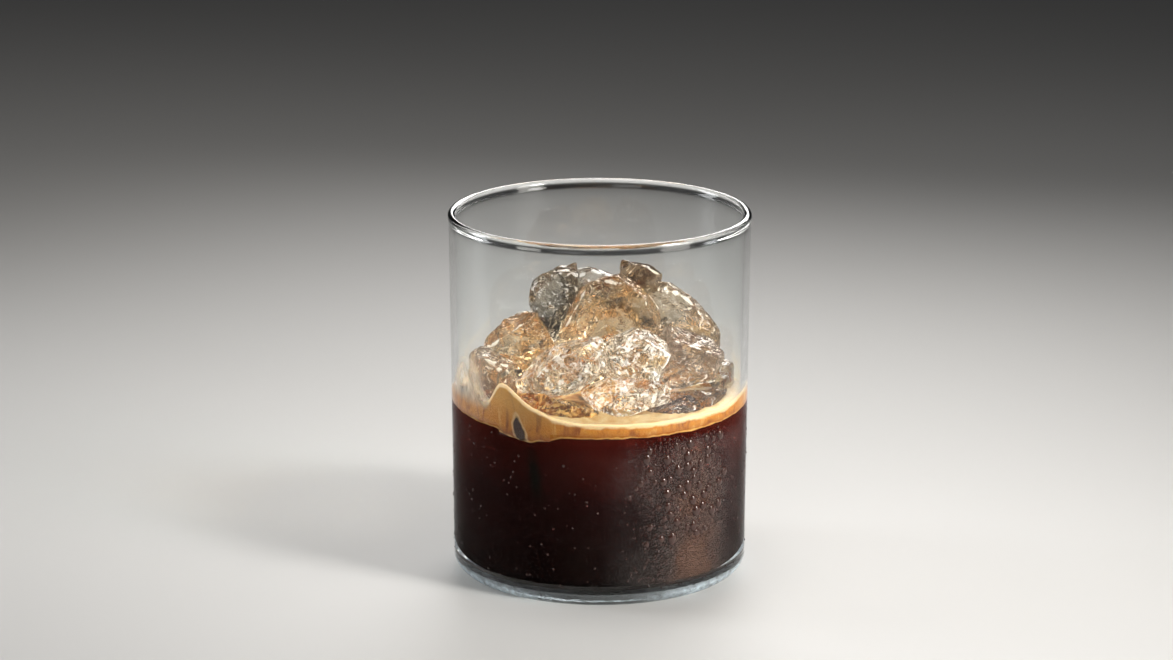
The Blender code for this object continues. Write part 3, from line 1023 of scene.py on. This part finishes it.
def makeCoffee():
    f = foamShape
    into = f["intoWall"]
    corner = glassShape["innerCorner"] + 0.02
    low = glassShape["floor"] - 0.1
    cornerHeight = low + corner
    cornerRadius = innerRadius(cornerHeight) + into - corner
    wall = innerRadius(f["line"]) + into
    rounding = arcPoints(cornerRadius, cornerHeight, corner, -90, 0, 14)
    outline = (
        [(0, low)]
        + spacedPoints((2, low), rounding[0], 6)
        + rounding[1:]
        + spacedPoints(rounding[-1], (wall, f["line"]), 16)
        + spacedPoints((wall, f["line"]), (2, f["line"]), 24)
        + [(0, f["line"])]
    )
    coffee = turnedPiece("coffee", outline, f["sides"])
    points = readPoints(coffee) / mm
    for i, (x, y, z) in enumerate(points):
        share = max(0, (z - 30) / (f["line"] - 30))
        points[i, 2] = z - share * foamSag(x, y)
    writePoints(coffee, points * mm)
    makeRoomForIce(coffee, f["line"])
    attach(coffee, "root")
    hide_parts("espresso")
    print("coffee made:", len(coffee.data.polygons), "faces")
    return coffee


def coffeeMaterial():
    material, tree, shader = newMaterial("blackCoffee")
    uneven = calculate(tree, "MULTIPLY", noiseValue(tree, 45, 2), 0.02)
    # painted light: lighter and redder towards the top, darker towards the bottom, as if lit from above
    share = rangeValue(tree, calculate(tree, "ADD", heightValue(tree), uneven), 0.015, 0.06, 0, 1)
    colour = ramp(
        tree,
        share,
        [(0.1, coffeeFinish["bottom"]), (0.55, coffeeFinish["middle"]), (1, coffeeFinish["top"])],
    )
    streak = ovalDistance(tree, coffeeFinish["streak"], coffeeFinish["streakSize"], -8)
    colour = mixColours(
        tree, rangeValue(tree, streak, 0.3, 1.1, 0.9, 0), colour, coffeeFinish["streakColour"]
    )
    tree.links.new(colour, shader.inputs["Base Color"])
    shader.inputs["Transmission Weight"].default_value = coffeeFinish["clearness"]
    shader.inputs["IOR"].default_value = 1  # the wetted wall bends the light instead
    shader.inputs["Roughness"].default_value = 0.0
    addDepthColour(tree, coffeeFinish["absorb"], coffeeFinish["density"])
    return material


# drops on the cold wall

dropRules = {
    # count, radii, heights, share that lies away from the wettest part of the wall
    "large": {"count": 64, "sizes": (0.55, 1.35), "heights": (16, 45), "elsewhere": 0, "seed": 21},
    "small": {"count": 1500, "sizes": (0.12, 0.34), "heights": (5, 46.5), "elsewhere": 0.025, "seed": 9},
    "wettest": (35, 17),  # angle from the front and width, in degrees
    "gap": 0.12,
    "proud": 0.62,  # how far a drop stands out, as a share of its radius
    "ior": 1.6,
    "body": (0.06, 0.024, 0.017),  # the drink shows dark through every drop
}


def dropPlaces(rule):
    draw = random.Random(rule["seed"])
    places = []
    while len(places) < rule["count"]:
        angle = draw.uniform(-180, 180)
        middle, width = dropRules["wettest"]
        wet = math.exp(-(((angle - middle) / width) ** 4))
        if draw.random() > rule["elsewhere"] + (1 - rule["elsewhere"]) * wet:
            continue
        size = draw.uniform(0, 1) ** 1.1
        size = rule["sizes"][0] + (rule["sizes"][1] - rule["sizes"][0]) * size
        height = draw.uniform(*rule["heights"])
        spot = (angle, height, size, draw.uniform(0.95, 1.5), draw.uniform(-0.3, 0.3))
        gaps = []
        for otherAngle, otherHeight, otherSize, *_ in places:
            aside = math.radians(angle - otherAngle) * glassShape["radius"]
            gaps.append(math.hypot(aside, height - otherHeight) - size - otherSize)
        if not gaps or min(gaps) > dropRules["gap"]:
            places.append(spot)
    return places


def makeDrops(name, rule, fineness):
    deselectAll()
    bpy.ops.mesh.primitive_ico_sphere_add(subdivisions=fineness, radius=1, location=(0, 0, 0))
    drop = bpy.context.object
    shape = readPoints(drop)
    shape[:, 0] *= 1 + 0.12 * shape[:, 2]  # a little narrower at its top
    faces = np.array([p.vertices[:] for p in drop.data.polygons])
    points, allFaces, inner = [], [], []
    for angle, height, size, length, lean in dropPlaces(rule):
        turn = math.radians(angle)
        sideways = shape[:, 0] * size + shape[:, 2] * size * length * lean * 0.4
        outwards = np.maximum(shape[:, 1] * size * dropRules["proud"], -0.03)
        heights = height + shape[:, 2] * size * length
        reach = outerRadius(height) + outwards
        across = turn + sideways / outerRadius(height)
        inner.append(shape[faces, 1].max(1) < 0.01)
        allFaces.append(faces[:, ::-1] + len(points) * len(shape))
        points.append(np.stack([reach * np.sin(across), -reach * np.cos(across), heights], 1))
    bpy.data.objects.remove(drop)
    piece = pieceFromFaces(name, points, allFaces)
    piece.data.polygons.foreach_set("material_index", np.concatenate(inner).astype(np.int32))
    onlySelect(piece)
    bpy.ops.object.mode_set(mode="EDIT")
    bpy.ops.mesh.select_all(action="SELECT")
    bpy.ops.mesh.normals_make_consistent(inside=False)
    bpy.ops.object.mode_set(mode="OBJECT")
    bpy.ops.object.shade_smooth()
    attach(piece, "root")
    print(name, "made:", len(points), "drops")
    return piece


def waterMaterial(name, ior):
    material, tree, shader = newMaterial(name)
    shader.inputs["Base Color"].default_value = (*dropRules["body"], 1)
    shader.inputs["Transmission Weight"].default_value = 0.25
    shader.inputs["IOR"].default_value = ior
    shader.inputs["Roughness"].default_value = 0.02
    letLampsThrough(tree, shader, (0.98, 0.98, 0.98))
    return material


# floor, lights and camera

studio = {
    "floor": (0.52, 0.515, 0.505),
    "world": (0.42, 0.43, 0.45),
    "worldStrength": 0.07,
    # name, place, size, aim, power, spread in degrees, colour
    "lights": [
        ("topSoftbox", (-0.08, 0.12, 0.75), (0.35, 0.35), (0, 0, 0.06), 1.2, 150, (1, 0.98, 0.95)),
        ("backSoftbox", (0.12, 0.62, 0.36), (0.5, 0.25), (0, 0, 0.06), 0.55, 70, (1, 0.98, 0.96)),
        ("rightStrip", (0.47, -0.27, 0.27), (0.24, 0.5), (0, 0, 0.05), 0.68, 100, (1, 0.96, 0.9)),
        ("rightSpark", (0.46, -0.3, 0.4), (0.12, 0.12), (0, 0, 0.05), 0.4, 60, (1, 0.98, 0.95)),
        ("leftStrip", (-0.55, 0.12, 0.25), (0.16, 0.46), (0, 0, 0.05), 0.5, 100, (0.96, 0.98, 1)),
        ("frontFill", (-0.3, -0.7, 0.55), (0.35, 0.35), (0, 0, 0.05), 0.34, 120, (1, 0.98, 0.96)),
    ],
}


def makeStudio():
    deselectAll()
    bpy.ops.mesh.primitive_plane_add(size=8, location=(0, 0, 0))
    floor = bpy.context.object
    nameIt(floor, "floor")
    material, tree, shader = newMaterial("paleFloor")
    shader.inputs["Base Color"].default_value = (*studio["floor"], 1)
    shader.inputs["Roughness"].default_value = 0.6
    floor.data.materials.append(material)
    world = bpy.data.worlds.new("studio")
    world.use_nodes = True
    background = world.node_tree.nodes["Background"]
    background.inputs["Color"].default_value = (*studio["world"], 1)
    background.inputs["Strength"].default_value = studio["worldStrength"]
    bpy.context.scene.world = world
    for name, place, size, aim, power, spread, colour in studio["lights"]:
        lamp = bpy.data.lights.new(name, "AREA")
        lamp.shape = "RECTANGLE"
        lamp.size, lamp.size_y = size
        lamp.energy = power
        lamp.spread = math.radians(spread)
        lamp.color = colour
        holder = bpy.data.objects.new(name, lamp)
        holder.location = place
        holder.rotation_euler = (Vector(aim) - Vector(place)).to_track_quat("-Z", "Y").to_euler()
        bpy.context.scene.collection.objects.link(holder)


camera = {
    "distance": 0.96061,
    "elevation": 0.279,  # radians above the horizon
    "focalPixels": 3500,
    "offset": (13.09, 57.36),  # pixels that the glass's middle lies right of and below the frame's
    "frameWidth": 1173,
}


def makeCamera():
    lift = camera["elevation"]
    middle = Vector((0, 0, 0.05014))
    back = Vector((0, -math.cos(lift), math.sin(lift)))
    up = Vector((0, math.sin(lift), math.cos(lift)))
    right, down = (pixels / camera["focalPixels"] for pixels in camera["offset"])
    forward = -back - Vector((1, 0, 0)) * right + up * down
    lens = bpy.data.cameras.new("camera")
    lens.sensor_width = 36
    lens.lens = 36 * camera["focalPixels"] / camera["frameWidth"]
    lens.clip_start = 0.01
    holder = bpy.data.objects.new("camera", lens)
    holder.location = middle + back * camera["distance"]
    holder.rotation_euler = forward.to_track_quat("-Z", "Y").to_euler()
    bpy.context.scene.collection.objects.link(holder)
    bpy.context.scene.camera = holder


# putting it together

def dress(pieces, material):
    for piece in pieces:
        piece.data.materials.clear()
        piece.data.materials.append(material)


bpy.context.scene.view_settings.view_transform = "Standard"
bpy.context.scene.cycles.max_bounces = 24
bpy.context.scene.cycles.transmission_bounces = 24
bpy.context.scene.cycles.transparent_max_bounces = 24

glass = makeGlass()
lumps = makeAllIce()
foam = makeFoam(heapTree())
coffee = makeCoffee()
drops = [
    makeDrops("largeDrops", dropRules["large"], 3),
    makeDrops("smallDrops", dropRules["small"], 2),
]
dress([glass], clearGlassMaterial("clearGlass", glassFinish["ior"]))
# where the drink touches the wall, only the small difference between the two bends the light
glass.data.materials.append(clearGlassMaterial("wettedGlass", glassFinish["ior"] / coffeeFinish["ior"]))
glass.data.materials.append(mistedGlassMaterial())
glass.data.materials.append(footGlassMaterial())
markWettedFaces(glass)
dress(lumps, iceMaterial("wetIce"))
for kind, names in iceFinish["lumps"].items():
    dress([lump for lump in lumps if lump.name in names], iceMaterial(kind))
dress([foam], foamMaterial())
dress([coffee], coffeeMaterial())
dropSide, wallSide = waterMaterial("waterDrops", dropRules["ior"]), waterMaterial("waterOnWall", 1)
for piece in drops:
    piece.data.materials.append(dropSide)
    piece.data.materials.append(wallSide)  # no bend where the water meets the wall
makeStudio()
makeCamera()

print("scene ready")
